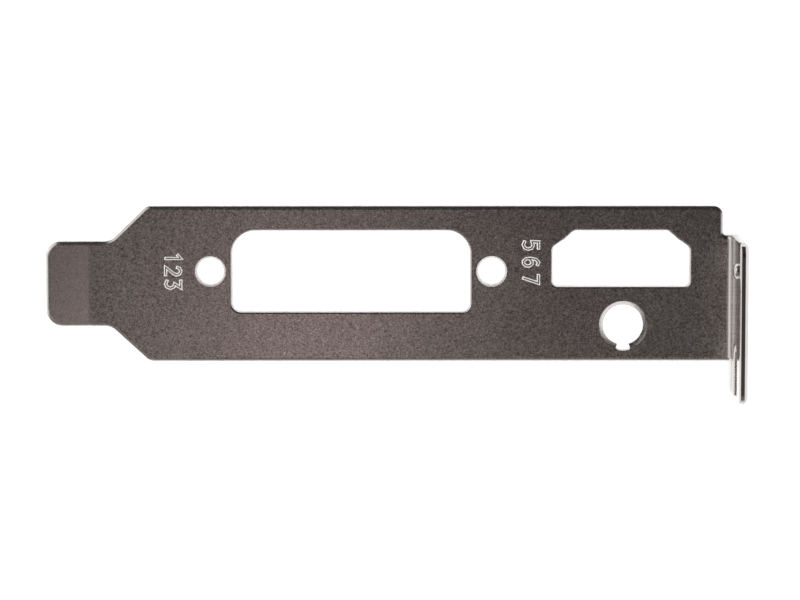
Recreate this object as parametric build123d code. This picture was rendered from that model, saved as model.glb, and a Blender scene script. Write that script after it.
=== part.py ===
from build123d import *
from math import radians, sqrt, tan
import os

# A low profile slot bracket, blanked and folded from one piece of sheet steel. It lies on its back
# face, z = 0, with its front face up. The narrow tab points along -X and the screw flange stands up
# at the +X end. X = 0 and Y = 0 are the middle of the pair of screw holes. Millimetres and degrees.

# Sheet and fold
sheet = 1.0                 # thickness
bend_radius = 0.65          # inside of the fold between plate and flange
roll_radius = 0.55          # rounding that the punch leaves on the front, along the outline
roll_width = 0.42           # how far it reaches in from the sheared edge, which cuts it off steeply
opening_roll = 0.25         # smaller full rounding around the two port openings
back_break = 0.35           # narrow slope that breaks the back's sharp outline

# Plate
plate_width = 18.42
tip_reach = 17.795          # tip of the tab to the edge of the nearer screw hole
flange_reach = 6.0          # small opening to the outer face of the flange
port_rise = 1.48            # screw holes and wide opening above the plate's centreline
corner_gap = 2.08           # upper corner of the plate to the outer face of the flange
corner_radius = 1.1
relief_radius = 0.42        # inner corner where the fold begins

# Tab
tab_width = 10.06
tab_length = 7.65           # straight part, up to the shoulders
tab_corner = 1.7
tab_low_corner = 2.1
shoulder_slope = 44.2       # angle of the upper shoulder to the plate's length
shoulder_low_slope = 42.5   # the same for the lower shoulder
shoulder_inner = 1.8        # rounding where tab and shoulder meet
shoulder_outer = 0.9        # rounding where the upper shoulder and the plate meet
shoulder_low_outer = 1.5    # the same for the lower shoulder
lift_length = 5.1           # end of the tab that is set up a little, so that it finds its slot
lift_angle = 3.0
lift_radius = 3.0           # inside of that slight bend

# Screw holes and wide port opening
screw_spacing = 33.32
screw_hole = 3.25
screw_mouth = 3.66          # the holes widen steeply towards the front
screw_sink = 0.3
screw_web = 0.935           # sheet left between a screw hole and the wide opening
wide_height = 9.66
wide_upper_corner = 2.75
wide_lower_corner = 1.05

# Small port opening, its upper side in line with that of the wide one
small_web = 5.565           # sheet left between a screw hole and the small opening
small_length = 16.25
small_height = 6.65
small_slope_run = 2.55      # each end slopes in this far towards its upper side
small_slope_drop = 1.97     # and begins to slope this far below it
small_knee_run = 1.42       # the slope steepens this far from the end of the opening
small_knee_drop = 1.01      # and this far below its upper side
small_blend = 0.8           # rounding along the slopes
small_lower_corner = 0.62

# Keyed round hole with a countersunk mouth
key_hole_shift = 0.295      # past the middle of the small opening, towards the flange
key_hole_drop = 4.94        # below the plate's centreline
key_bore = 4.78
key_mouth = 5.76
key_sink = 0.55             # depth of the countersink
key_neck = 1.38             # keyway at the bore
key_wing = 1.8              # keyway at its widest
key_wing_reach = 2.78       # centre of the hole to the widest place
key_reach = 3.04            # centre of the hole to the bottom of the keyway
key_blend = 0.18

# Flange
flange_height = 11.43       # back face of the plate to the free edge
flange_step = 3.5           # upper end of the flange below the plate's upper edge
flange_ear = 4.0            # lower end of the flange past the plate's lower edge
flange_upper_corner = 1.6
flange_lower_corner = 1.1
ear_corner = 0.9            # lower corner on the side of the fold
ear_relief = 0.45           # inner corner between fold and ear

# Screw notch in the flange, open at its lower end
notch_width = 4.2
notch_rise = 5.9            # middle of the notch above the plate's back face
notch_depth = 6.47          # lower end of the flange to the closed end
notch_mouth = 0.5           # rounding at the mouth

# Contact bump pressed through the flange towards the plate
bump_rise = 9.35            # above the plate's back face
bump_drop = 3.45            # below the upper end of the flange
bump_diameter = 1.85
bump_height = 0.6
bump_round = 0.45           # rounding of its top
bump_hollow = 1.3           # diameter of the dent behind the bump

# Places that follow from the sizes
hole_reach = (screw_spacing + screw_hole) / 2
wide_end = hole_reach - screw_hole - screw_web
small_start = hole_reach + small_web
small_end = small_start + small_length
tip_x = -hole_reach - tip_reach
outer_x = small_end + flange_reach
inner_x = outer_x - sheet
plate_middle = -port_rise
plate_top = plate_middle + plate_width / 2
plate_low = plate_middle - plate_width / 2
corner_x = outer_x - corner_gap
stem_top = plate_top - flange_step
ear_low = plate_low - flange_ear
fold_top = sheet + bend_radius
fold_x = outer_x - fold_top
port_top = wide_height / 2
shoulder_x = tip_x + tab_length
shoulder_rise = (plate_width - tab_width) / 2
ear_rise = fold_top + ear_relief
roll_spread = roll_radius - roll_width
above = 2 * flange_height   # reach of a cutter or profile that runs past the whole part


def corners_near(sketch, *places):
    """The corner of the sketch that is nearest to each place."""
    return [sketch.vertices().sort_by_distance(place)[0] for place in places]


def folded_strip():
    """The sheet's folded section, from the tab to the flange, drawn out far wider than the part."""
    lift_start = tip_x + lift_length
    with BuildSketch(Plane.XZ) as profile:
        with BuildLine():
            back = Line((lift_start, 0), (fold_x, 0))
            fold = JernArc(back @ 1, (1, 0), fold_top, 90)
            Polyline(fold @ 1, (outer_x, above), (inner_x, above), (inner_x, fold_top))
            JernArc((inner_x, fold_top), (0, -1), bend_radius, -90)
            Line((fold_x, sheet), (lift_start, sheet))
            front_lift = JernArc((lift_start, sheet), (-1, 0), lift_radius, -lift_angle)
            back_lift = JernArc((lift_start, 0), (-1, 0), lift_radius + sheet, -lift_angle)
            lifted = Vector(-tab_length, 0).rotate(Axis.Z, -lift_angle)
            Polyline(front_lift @ 1, front_lift @ 1 + lifted, back_lift @ 1 + lifted, back_lift @ 1)
        make_face()
    return extrude(profile.sketch, amount=plate_width * 2, both=True)


def plate_outline():
    """The plate, its tab and the stem that runs past the fold, seen from the front."""
    tab_top = plate_middle + tab_width / 2
    tab_low = plate_middle - tab_width / 2
    body_x = shoulder_x + shoulder_rise / tan(radians(shoulder_slope))
    body_low_x = shoulder_x + shoulder_rise / tan(radians(shoulder_low_slope))
    upper = [(tip_x, tab_top), (shoulder_x, tab_top), (body_x, plate_top), (corner_x, plate_top)]
    lower = [(body_low_x, plate_low), (shoulder_x, tab_low), (tip_x, tab_low)]
    relief = (corner_x, stem_top)
    with BuildSketch() as outline:
        with BuildLine():
            Polyline(*upper, relief, (outer_x, stem_top), (outer_x, plate_low), *lower, close=True)
        make_face()
        fillet(corners_near(outline, upper[0]), tab_corner)
        fillet(corners_near(outline, lower[2]), tab_low_corner)
        fillet(corners_near(outline, upper[1], lower[1]), shoulder_inner)
        fillet(corners_near(outline, upper[2]), shoulder_outer)
        fillet(corners_near(outline, lower[0]), shoulder_low_outer)
        fillet(corners_near(outline, upper[3]), corner_radius)
        fillet(corners_near(outline, relief), relief_radius)
    return outline.sketch


def wide_opening():
    """Opening between the screw holes, with larger roundings at its upper corners."""
    upper = (-wide_end, port_top), (wide_end, port_top)
    lower = (-wide_end, -port_top), (wide_end, -port_top)
    with BuildSketch() as opening:
        Rectangle(2 * wide_end, wide_height)
        fillet(corners_near(opening, *upper), wide_upper_corner)
        fillet(corners_near(opening, *lower), wide_lower_corner)
    return opening.sketch


def small_opening():
    """Opening with sloping upper corners."""
    slope_low = port_top - small_slope_drop
    knee = port_top - small_knee_drop
    upper = [
        (small_start, slope_low),
        (small_start + small_knee_run, knee),
        (small_start + small_slope_run, port_top),
        (small_end - small_slope_run, port_top),
        (small_end - small_knee_run, knee),
        (small_end, slope_low),
    ]
    lower = [(small_end, port_top - small_height), (small_start, port_top - small_height)]
    with BuildSketch() as opening:
        with BuildLine():
            Polyline(*upper, *lower, close=True)
        make_face()
        fillet(corners_near(opening, *upper), small_blend)
        fillet(corners_near(opening, *lower), small_lower_corner)
    return opening.sketch


def screw_holes():
    """The pair of screw holes beside the wide opening, as a cutter."""
    widening = (Align.CENTER, Align.CENTER, Align.MAX)
    hole = Cylinder(screw_hole / 2, above)
    hole += Pos(0, 0, sheet) * Cone(screw_hole / 2, screw_mouth / 2, screw_sink, align=widening)
    return Pos(-screw_spacing / 2, 0, 0) * hole + Pos(screw_spacing / 2, 0, 0) * hole


def keyed_hole():
    """Round hole with a dovetail keyway below it and a countersunk mouth, as a cutter."""
    bore_radius = key_bore / 2
    neck_y = -sqrt(bore_radius**2 - (key_neck / 2) ** 2)
    wing_left = Vector(-key_wing / 2, -key_wing_reach)
    wing_right = Vector(key_wing / 2, -key_wing_reach)
    with BuildSketch() as keyway:
        with BuildLine():
            Polyline(wing_left, (-key_neck / 2, neck_y), (0, 0), (key_neck / 2, neck_y), wing_right)
            ThreePointArc(wing_left, (0, -key_reach), wing_right)
        make_face()
        fillet(corners_near(keyway, wing_left, wing_right), key_blend)
    sink = Cone(bore_radius, key_mouth / 2, key_sink, align=(Align.CENTER, Align.CENTER, Align.MAX))
    cutter = extrude(keyway.sketch, amount=above, both=True)
    cutter += Cylinder(bore_radius, above)
    cutter += Pos(0, 0, sheet) * sink
    centre_x = (small_start + small_end) / 2 + key_hole_shift
    return Pos(centre_x, plate_middle - key_hole_drop, 0) * cutter


def flange_outline():
    """The fold and the flange seen along the plate, with the ear and the notch open through it."""
    mouth_low = notch_rise - notch_width / 2
    mouth_high = notch_rise + notch_width / 2
    notch_end = ear_low + notch_depth - notch_width / 2
    points = [
        (stem_top, -sheet),
        (stem_top, flange_height),
        (ear_low, flange_height),
        (ear_low, ear_rise),
        (plate_low, ear_rise),
        (plate_low, -sheet),
    ]
    with BuildSketch(Plane.YZ.offset(fold_x)) as outline:
        with BuildLine():
            Polyline(*points, close=True)
        make_face()
        fillet(corners_near(outline, points[1]), flange_upper_corner)
        fillet(corners_near(outline, points[2]), flange_lower_corner)
        fillet(corners_near(outline, points[3]), ear_corner)
        fillet(corners_near(outline, points[4]), ear_relief)
        with Locations((notch_end, notch_rise)):
            Circle(notch_width / 2, mode=Mode.SUBTRACT)
            Rectangle(notch_depth, notch_width, align=(Align.MAX, Align.CENTER), mode=Mode.SUBTRACT)
        fillet(corners_near(outline, (ear_low, mouth_low), (ear_low, mouth_high)), notch_mouth)
    return outline.sketch


def bump():
    """Round contact bump on the inner face of the flange, and the dent left behind it."""
    place = Pos(inner_x, stem_top - bump_drop, bump_rise) * Rot(0, -90, 0)
    raised = extrude(Circle(bump_diameter / 2), amount=bump_height)
    raised = fillet(raised.faces().sort_by(Axis.Z)[-1].edges(), bump_round)
    dent = Pos(0, 0, -sheet) * extrude(Circle(bump_hollow / 2), amount=bump_height)
    return place * raised, place * dent


def free_edge(solid, x):
    """The flange's free edge at that distance along the plate's length."""
    return solid.edges().sort_by_distance((x, (stem_top + ear_low) / 2, flange_height))[0]


def inside_outline(spread):
    """All that lies inside the outline of plate and flange, moved outwards by spread."""
    plate = extrude(offset(plate_outline(), spread), amount=above, both=True)
    flange = extrude(offset(flange_outline(), spread), amount=above)
    return split(plate, Plane.YZ.offset(fold_x), keep=Keep.BOTTOM) + flange


def bracket():
    """The whole folded sheet."""
    # The outline has no sharp corner, so a rounding or a slope follows it all the way round.
    solid = (folded_strip() & inside_outline(roll_spread)).solid()
    solid = solid.fillet(roll_radius, [free_edge(solid, inner_x)])
    solid = (solid & inside_outline(0)).solid()
    solid = solid.chamfer(back_break, None, [free_edge(solid, outer_x)])
    solid -= extrude(wide_opening() + small_opening(), amount=above, both=True)
    solid = solid.solid()
    front = solid.faces().filter_by(Plane.XY).sort_by_distance((0, plate_low, sheet))[0]
    for rim in front.inner_wires():
        solid = solid.fillet(opening_roll, rim.edges())
    raised, dent = bump()
    return solid + raised - dent - screw_holes() - keyed_hole()


part = bracket()
print("solids", len(part.solids()), "volume", part.volume)
print("size", part.bounding_box().size)
os.makedirs("parts", exist_ok=True)
export_step(part, "parts/bracket.step")
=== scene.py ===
"""Looks of the low profile bracket: plated sheet steel on a white studio floor."""

import math

import bpy
from mathutils import Matrix, Vector


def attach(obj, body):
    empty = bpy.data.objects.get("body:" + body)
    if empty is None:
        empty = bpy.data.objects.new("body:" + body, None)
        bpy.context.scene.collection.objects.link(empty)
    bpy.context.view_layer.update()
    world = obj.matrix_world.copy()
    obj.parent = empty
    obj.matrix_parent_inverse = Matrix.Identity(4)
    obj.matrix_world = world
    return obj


MM = 0.001

# Camera, in millimetres of the part's frame
CAMERA_PLACE = (2.8, 42.3, 441.0)
CAMERA_TARGET = (5.8, -3.4, 1.0)
CAMERA_LENS = 168.0
SENSOR_WIDTH = 36.0
CLIP_START = 0.01           # in metres
CLIP_END = 20.0

# Pale backdrop, which the camera sees only past the edge of the floor
BACKDROP = (0.8, 0.8, 0.8, 1)

# Dim warm ceiling of the studio, with its glows. A glow has an axis of the direction, the places
# on that axis where it begins and is full, and its brightness
CEILING = 0.018
CEILING_TINT = (1.0, 0.9, 0.86)
CEILING_GLOWS = [
    ("Y", (0.0, -0.35), 0.185),
    ("X", (0.0, -0.3), 0.05),
    ("Y", (0.15, 0.6), 0.035),
]

# Bright sides of the studio, given as the glows are. Each has fades too: an axis, the places
# where the fade begins and ends, and the share of the light that is left there
BRIGHT_SIDES = [
    ("X", (0.42, 1.0), 0.9, [("Y", (0.0, 0.35), 0.05)]),
    ("X", (-0.4, -1.0), 0.95, [("Y", (-0.2, -0.6), 0.1), ("Y", (0.2, 0.6), 0.1)]),
    ("Y", (-0.8, -1.0), 0.7, [("X either way", (0.3, 0.65), 0.1)]),
]

# Bright panel: its direction, the cosines of the angle to it where it begins and is full, and
# its brightness
PANEL_TOWARDS = (-0.66, 0.55, 0.51)
PANEL_SPAN = (0.8, 0.98)
PANEL = 0.85

# Small soft lamp above the plate and beyond its long edge at -Y, in millimetres
LAMP_PLACE = (-8.5, -28.0, 150.0)
LAMP_SIZE = 20.0
LAMP_POWER = 0.0022
LAMP_TINT = (1.0, 0.75, 0.76)

# Broad lamp straight above, which lights matt surfaces and casts the shadow
FILL_POWER = 2.4
FILL_ANGLE = 14.0

# The floor glows a little for the camera and in reflections, so that it is just white
FLOOR_HALF = 3.0            # half of its width, in metres
FLOOR_DROP = 0.05           # millimetres below the part
FLOOR_PAINT = (0.85, 0.85, 0.85, 1)
FLOOR_GLOW = 0.27
FIRST_BOUNCE = 1.5          # the ray depth of the camera's ray and of its first bounce is less

# Steel: a fine grain and a speckle on the flats, and wide soft patches all over
STEEL = (0.60, 0.575, 0.56)
GRAIN_SCALE = 6400.0
GRAIN_SHADE = 0.62          # a shade is how far the texture darkens or lightens the steel
SPECKLE_SCALE = 3400.0
SPECKLE_SHADE = 0.12
PATCH_SCALE = 90.0
PATCH_SHADE = 0.06
NOISE_SPAN = (0.3, 0.7)     # the middle of each noise's range, which is spread over the shades
GRAIN_HEIGHT = 0.02         # of the bump, in millimetres
GRAIN_STRENGTH = 0.45
ROUGHNESS = (0.12, 0.18)    # follows the speckle, all over
FLAT_ROUGHNESS = 0.14       # added on the flats
FLAT_NORMAL = (0.93, 0.995)  # rise of the normal where a flat begins and is full
GRAIN_TOP = 5.0             # above this height, in millimetres, the steel has no grain

# The end of the tab is smoother than the plate, and painted lighter as a stand-in for the
# brighter reflection of its slightly tilted end. It begins here, in millimetres
TAB_END = -30.75
TAB_BLEND = 0.1             # half the width of the change
TAB_GRAIN = 0.4             # share of the grain that is left there
# painted light: how much lighter the tab's end is painted
TAB_PAINTED_LIGHT = 1.18

# Raised numbers, in millimetres: middle of each one on the plate, and its length
NUMBER_HEIGHT = 1.8
DIGIT_WIDTH = 0.54          # share of the height
LEFT_NUMBER = (-21.05, 0.05)
LEFT_LENGTH = 4.1
RIGHT_NUMBER = (21.3, 1.1)
RIGHT_LENGTH = 5.0
STROKE_TOP = 0.075          # half the width of a stroke's flat top
STROKE_FOOT = 0.225         # and of its foot on the plate
STROKE_RISE = 0.1
STROKE_SINK = 0.02          # the foot reaches this far into the plate
STROKE_SIDE = 0.9           # a face of a stroke whose normal rises less than this gets the painted highlight
# Painted highlight: pale colour of the strokes' sides, standing in for the bright reflection on
# their slopes
PAINTED_HIGHLIGHT = (0.9, 0.89, 0.87, 1)
MITRE_LIMIT = 2.0
PLATE_FRONT = 1.0           # height of the plate's front face

# Centrelines of the digits in a cell one unit high: across, then up
DIGITS = {
    "1": [(0.08, 0.8), (0.3, 1.0), (0.3, 0.0)],
    "2": [(0.02, 0.76), (0.08, 0.92), (0.27, 1.0), (0.45, 0.92), (0.52, 0.74), (0.44, 0.54),
          (0.02, 0.0), (0.54, 0.0)],
    "3": [(0.02, 1.0), (0.5, 1.0), (0.24, 0.6), (0.43, 0.54), (0.53, 0.32), (0.44, 0.09),
          (0.24, 0.0), (0.02, 0.1)],
    "5": [(0.5, 1.0), (0.06, 1.0), (0.04, 0.57), (0.27, 0.64), (0.46, 0.55), (0.53, 0.32),
          (0.45, 0.1), (0.25, 0.0), (0.02, 0.08)],
    "6": [(0.46, 0.93), (0.28, 1.0), (0.1, 0.84), (0.02, 0.5), (0.05, 0.18), (0.2, 0.01),
          (0.38, 0.02), (0.52, 0.18), (0.52, 0.42), (0.38, 0.57), (0.2, 0.56), (0.05, 0.4)],
    "7": [(0.0, 1.0), (0.54, 1.0), (0.2, 0.0)],
}


def new_material(name):
    material = bpy.data.materials.new(name)
    material.use_nodes = True
    material.node_tree.nodes.clear()
    return material


def add_node(tree, kind, inputs=None, **settings):
    """A node with its settings. The names in inputs are sockets, which get those values."""
    node = tree.nodes.new(kind)
    for key, value in settings.items():
        setattr(node, key, value)
    for socket, value in (inputs or {}).items():
        node.inputs[socket].default_value = value
    return node


def ramp_value(tree, source, span, values):
    """source mapped smoothly from the two ends of span to the two values."""
    node = add_node(tree, "ShaderNodeMapRange", interpolation_type="SMOOTHSTEP")
    node.inputs["From Min"].default_value = span[0]
    node.inputs["From Max"].default_value = span[1]
    node.inputs["To Min"].default_value = values[0]
    node.inputs["To Max"].default_value = values[1]
    tree.links.new(source, node.inputs["Value"])
    return node.outputs["Result"]


def maths(tree, operation, first, second):
    """Result of an operation on two values, each a number or an output."""
    node = add_node(tree, "ShaderNodeMath", operation=operation)
    for socket, value in zip(node.inputs, (first, second)):
        if isinstance(value, (int, float)):
            socket.default_value = value
        else:
            tree.links.new(value, socket)
    return node.outputs[0]


def add_shaders(tree, first, second):
    """Node that adds up the light of two shaders."""
    node = add_node(tree, "ShaderNodeAddShader")
    tree.links.new(first.outputs[0], node.inputs[0])
    tree.links.new(second.outputs[0], node.inputs[1])
    return node


def noise(tree, place, scale, detail, **others):
    """Value of a noise texture in the part's own coordinates."""
    inputs = {"Scale": scale, "Detail": detail, **others}
    texture = add_node(tree, "ShaderNodeTexNoise", inputs)
    tree.links.new(place, texture.inputs["Vector"])
    return texture.outputs["Fac"]


def steel_material(name, grain):
    """Plated sheet steel, grainy on the flat front and smoother on its edges and the flange."""
    material = new_material(name)
    tree = material.node_tree
    links = tree.links
    output = add_node(tree, "ShaderNodeOutputMaterial")
    shader = add_node(tree, "ShaderNodeBsdfPrincipled", {"Metallic": 1.0})
    coordinates = add_node(tree, "ShaderNodeTexCoord")
    place = coordinates.outputs["Object"]
    worms = noise(tree, place, GRAIN_SCALE, 2.0, Roughness=0.6, Distortion=1.2)
    speckle = noise(tree, place, SPECKLE_SCALE, 2.0)
    patches = noise(tree, place, PATCH_SCALE, 3.0)

    # 1 on the flat front, 0 on the rounded edges and the flange
    facing = add_node(tree, "ShaderNodeSeparateXYZ")
    links.new(coordinates.outputs["Normal"], facing.inputs[0])
    along = add_node(tree, "ShaderNodeSeparateXYZ")
    links.new(place, along.inputs[0])
    flat = ramp_value(tree, facing.outputs["Z"], FLAT_NORMAL, (0.0, 1.0))
    below = maths(tree, "LESS_THAN", along.outputs["Z"], GRAIN_TOP * MM)
    flat = maths(tree, "MULTIPLY", flat, below)

    # The grain and the painted lightening change where the end of the tab begins
    tab_span = ((TAB_END - TAB_BLEND) * MM, (TAB_END + TAB_BLEND) * MM)
    share = ramp_value(tree, along.outputs["X"], tab_span, (TAB_GRAIN, 1.0))
    depth = maths(tree, "MULTIPLY", flat, share)
    tab_painted_light = ramp_value(tree, along.outputs["X"], tab_span, (TAB_PAINTED_LIGHT, 1.0))

    fine = ramp_value(tree, worms, NOISE_SPAN, (-GRAIN_SHADE, GRAIN_SHADE))
    coarse = ramp_value(tree, speckle, NOISE_SPAN, (-SPECKLE_SHADE, SPECKLE_SHADE))
    both = maths(tree, "MULTIPLY", maths(tree, "ADD", fine, coarse), depth)
    both = maths(tree, "ADD", maths(tree, "MULTIPLY", both, grain), 1.0)
    wide = ramp_value(tree, patches, NOISE_SPAN, (1.0 - PATCH_SHADE, 1.0 + PATCH_SHADE))
    shade = maths(tree, "MULTIPLY", both, wide)
    # painted light: the tab's end is lightened in its colour
    shade = maths(tree, "MULTIPLY", shade, tab_painted_light)
    colour = add_node(tree, "ShaderNodeVectorMath", {0: STEEL}, operation="SCALE")
    links.new(shade, colour.inputs["Scale"])
    links.new(colour.outputs[0], shader.inputs["Base Color"])

    rough = ramp_value(tree, speckle, NOISE_SPAN, ROUGHNESS)
    rougher = maths(tree, "MULTIPLY", flat, FLAT_ROUGHNESS)
    links.new(maths(tree, "ADD", rough, rougher), shader.inputs["Roughness"])

    bump = add_node(tree, "ShaderNodeBump", {"Distance": GRAIN_HEIGHT * MM})
    links.new(maths(tree, "MULTIPLY", depth, GRAIN_STRENGTH * grain), bump.inputs["Strength"])
    links.new(worms, bump.inputs["Height"])
    links.new(bump.outputs["Normal"], shader.inputs["Normal"])
    links.new(shader.outputs["BSDF"], output.inputs["Surface"])
    return material


def painted_highlight_material():
    """Pale matt sides of the raised strokes: a painted highlight, standing in for the bright
    reflection on their slopes.
    """
    material = new_material("stroke_painted_highlight")
    tree = material.node_tree
    output = add_node(tree, "ShaderNodeOutputMaterial")
    inputs = {"Base Color": PAINTED_HIGHLIGHT, "Metallic": 0.15, "Roughness": 0.5}
    shader = add_node(tree, "ShaderNodeBsdfPrincipled", inputs)
    tree.links.new(shader.outputs["BSDF"], output.inputs["Surface"])
    return material


def stage_floor():
    """White floor under the part, which keeps a faint shadow."""
    size = FLOOR_HALF
    mesh = bpy.data.meshes.new("studio_floor")
    corners = [(-size, -size, 0), (size, -size, 0), (size, size, 0), (-size, size, 0)]
    mesh.from_pydata(corners, [], [(0, 1, 2, 3)])
    floor = bpy.data.objects.new("studio_floor", mesh)
    floor.location.z = -FLOOR_DROP * MM
    bpy.context.scene.collection.objects.link(floor)

    material = new_material("floor_white")
    tree = material.node_tree
    output = add_node(tree, "ShaderNodeOutputMaterial")
    paint = add_node(tree, "ShaderNodeBsdfDiffuse", {"Color": FLOOR_PAINT})
    glow = add_node(tree, "ShaderNodeEmission")
    path = add_node(tree, "ShaderNodeLightPath")
    first = maths(tree, "LESS_THAN", path.outputs["Ray Depth"], FIRST_BOUNCE)
    glossy = maths(tree, "MULTIPLY", path.outputs["Is Glossy Ray"], first)
    seen = maths(tree, "MAXIMUM", path.outputs["Is Camera Ray"], glossy)
    seen = maths(tree, "MAXIMUM", seen, path.outputs["Is Transmission Ray"])
    tree.links.new(maths(tree, "MULTIPLY", seen, FLOOR_GLOW), glow.inputs["Strength"])
    both = add_shaders(tree, paint, glow)
    tree.links.new(both.outputs[0], output.inputs["Surface"])
    mesh.materials.append(material)


def direction_axes(tree, direction):
    """Parts of a direction along X, along Y, and along X whichever way it points."""
    split = add_node(tree, "ShaderNodeSeparateXYZ")
    tree.links.new(direction, split.inputs[0])
    x, y = split.outputs["X"], split.outputs["Y"]
    return {"X": x, "Y": y, "X either way": maths(tree, "ABSOLUTE", x, 0.0)}


def glow_towards(tree, axes, axis, span, brightness, fades=()):
    """Light that grows along an axis of the direction, and fades along others."""
    glow = ramp_value(tree, axes[axis], span, (0.0, brightness))
    for across, fade_span, left in fades:
        fade = ramp_value(tree, axes[across], fade_span, (1.0, left))
        glow = maths(tree, "MULTIPLY", glow, fade)
    return glow


def ceiling_light(tree, direction):
    """Brightness of the dim ceiling, which grows towards the tab and both long sides."""
    axes = direction_axes(tree, direction)
    total = CEILING
    for glow in CEILING_GLOWS:
        total = maths(tree, "ADD", total, glow_towards(tree, axes, *glow))
    return total


def side_light(tree, direction):
    """Brightness of the bright sides and the panel."""
    axes = direction_axes(tree, direction)
    inputs = {1: Vector(PANEL_TOWARDS).normalized()}
    towards = add_node(tree, "ShaderNodeVectorMath", inputs, operation="DOT_PRODUCT")
    tree.links.new(direction, towards.inputs[0])
    total = ramp_value(tree, towards.outputs["Value"], PANEL_SPAN, (0.0, PANEL))
    for side in BRIGHT_SIDES:
        total = maths(tree, "ADD", total, glow_towards(tree, axes, *side))
    return total


def surroundings():
    """Pale backdrop for the camera, and a studio with a dim ceiling for all other rays."""
    world = bpy.data.worlds.new("studio")
    bpy.context.scene.world = world
    world.use_nodes = True
    tree = world.node_tree
    tree.nodes.clear()
    output = add_node(tree, "ShaderNodeOutputWorld")
    backdrop = add_node(tree, "ShaderNodeBackground", {"Color": BACKDROP, "Strength": 1.0})
    ceiling = add_node(tree, "ShaderNodeBackground", {"Color": (*CEILING_TINT, 1)})
    sides = add_node(tree, "ShaderNodeBackground", {"Color": (1, 1, 1, 1)})
    direction = add_node(tree, "ShaderNodeTexCoord").outputs["Generated"]
    tree.links.new(ceiling_light(tree, direction), ceiling.inputs["Strength"])
    tree.links.new(side_light(tree, direction), sides.inputs["Strength"])
    studio = add_shaders(tree, ceiling, sides)
    path = add_node(tree, "ShaderNodeLightPath")
    mix = add_node(tree, "ShaderNodeMixShader")
    tree.links.new(path.outputs["Is Camera Ray"], mix.inputs[0])
    tree.links.new(studio.outputs[0], mix.inputs[1])
    tree.links.new(backdrop.outputs[0], mix.inputs[2])
    tree.links.new(mix.outputs[0], output.inputs["Surface"])


def lamps():
    """The small soft lamp that the plate mirrors, and the broad one for matt surfaces."""
    light = bpy.data.lights.new("soft_lamp", "AREA")
    light.shape = "DISK"
    light.size = LAMP_SIZE * MM
    light.energy = LAMP_POWER
    light.color = LAMP_TINT
    soft_lamp = bpy.data.objects.new("soft_lamp", light)
    place = Vector(LAMP_PLACE) * MM
    soft_lamp.location = place
    soft_lamp.rotation_euler = place.to_track_quat("Z", "Y").to_euler()
    soft_lamp.visible_camera = False
    bpy.context.scene.collection.objects.link(soft_lamp)

    light = bpy.data.lights.new("fill", "SUN")
    light.energy = FILL_POWER
    light.angle = math.radians(FILL_ANGLE)
    fill = bpy.data.objects.new("fill", light)
    fill.visible_glossy = False
    bpy.context.scene.collection.objects.link(fill)


def place_camera():
    """Camera at the photo's viewing angle, with +Y up in the picture."""
    place = Vector(CAMERA_PLACE) * MM
    back = (place - Vector(CAMERA_TARGET) * MM).normalized()
    right = Vector((0, 1, 0)).cross(back).normalized()
    up = back.cross(right)
    axes = Matrix((right, up, back)).transposed()
    camera = bpy.data.objects.new("camera", bpy.data.cameras.new("camera"))
    camera.matrix_world = Matrix.Translation(place) @ axes.to_4x4()
    camera.data.lens = CAMERA_LENS
    camera.data.sensor_width = SENSOR_WIDTH
    camera.data.clip_start = CLIP_START
    camera.data.clip_end = CLIP_END
    bpy.context.scene.collection.objects.link(camera)
    bpy.context.scene.camera = camera


def stroke_sections(points):
    """Foot, top, top and foot of a raised stroke at each point of its centreline."""
    steps = [(after - before).normalized() for before, after in zip(points, points[1:])]
    sections = []
    for index, point in enumerate(points):
        before = steps[max(index - 1, 0)]
        after = steps[min(index, len(steps) - 1)]
        along = (before + after).normalized()
        across = Vector((-along.y, along.x))
        stretch = min(MITRE_LIMIT, 1 / across.dot(Vector((-after.y, after.x))))
        end = (index == len(steps)) - (index == 0)
        shift = along * (STROKE_FOOT - STROKE_TOP) * end
        foot = across * STROKE_FOOT * stretch
        top = across * STROKE_TOP * stretch
        sections.append([(point + shift - foot, -STROKE_SINK), (point - top, STROKE_RISE),
                         (point + top, STROKE_RISE), (point + shift + foot, -STROKE_SINK)])
    return sections


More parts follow.
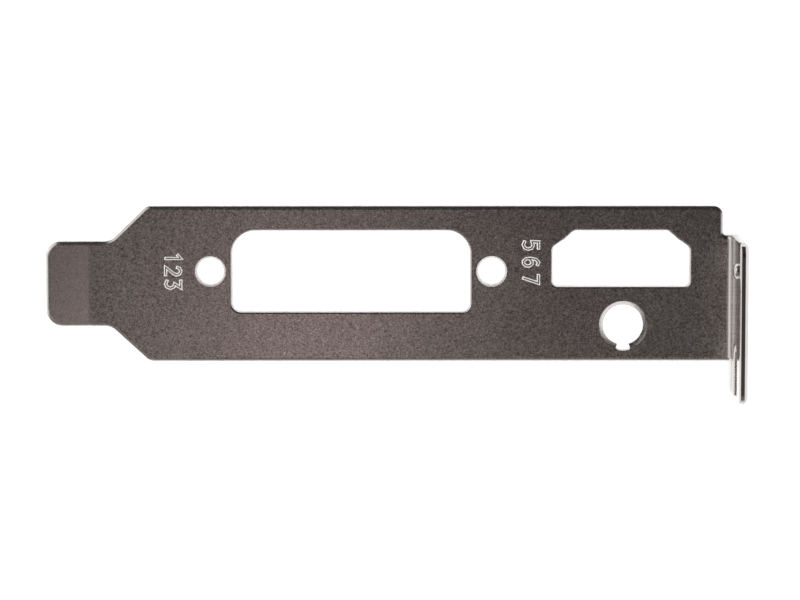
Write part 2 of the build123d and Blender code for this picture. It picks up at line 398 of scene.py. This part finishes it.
def raised_number(name, digits, centre, length, top_material, highlight_material):
    """A plain raised number. Its digits follow each other towards -Y, their tops towards +X."""
    width = DIGIT_WIDTH * NUMBER_HEIGHT
    pitch = (length - width) / (len(digits) - 1)
    vertices = []
    faces = []
    for index, digit in enumerate(digits):
        points = [
            Vector((
                centre[0] + (high - 0.5) * NUMBER_HEIGHT,
                centre[1] + length / 2 - index * pitch - across * NUMBER_HEIGHT,
            ))
            for across, high in DIGITS[digit]
        ]
        first = len(vertices)
        for section in stroke_sections(points):
            vertices += [(x * MM, y * MM, (PLATE_FRONT + z) * MM) for (x, y), z in section]
        for start in range(first, len(vertices) - 4, 4):
            for side in range(4):
                after = (side + 1) % 4
                faces.append((start + side, start + 4 + side, start + 4 + after, start + after))
        faces.append(range(first, first + 4))
        faces.append(range(len(vertices) - 1, len(vertices) - 5, -1))
    mesh = bpy.data.meshes.new(name)
    mesh.from_pydata(vertices, [], faces)
    mesh.materials.append(top_material)
    mesh.materials.append(highlight_material)
    # The strokes' sides get the painted highlight, their tops the steel
    for face in mesh.polygons:
        face.material_index = int(abs(face.normal.z) < STROKE_SIDE)
    piece = bpy.data.objects.new(name, mesh)
    bpy.context.scene.collection.objects.link(piece)
    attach(piece, "root")


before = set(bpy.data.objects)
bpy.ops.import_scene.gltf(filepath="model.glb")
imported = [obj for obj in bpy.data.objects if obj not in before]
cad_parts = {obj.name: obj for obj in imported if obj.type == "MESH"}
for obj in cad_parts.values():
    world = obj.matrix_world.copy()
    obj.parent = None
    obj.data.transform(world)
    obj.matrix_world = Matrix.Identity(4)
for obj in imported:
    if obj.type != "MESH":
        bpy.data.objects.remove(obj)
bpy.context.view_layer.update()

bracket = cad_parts["bracket"]
bracket.data.materials.clear()
bracket.data.materials.append(steel_material("plated_steel", grain=1.0))
stroke_steel = steel_material("stroke_steel", grain=0.0)
stroke_highlight = painted_highlight_material()
raised_number("port_number_1", "123", LEFT_NUMBER, LEFT_LENGTH, stroke_steel, stroke_highlight)
raised_number("port_number_2", "567", RIGHT_NUMBER, RIGHT_LENGTH, stroke_steel, stroke_highlight)

stage_floor()
surroundings()
lamps()
place_camera()
bpy.context.scene.view_settings.view_transform = "Standard"
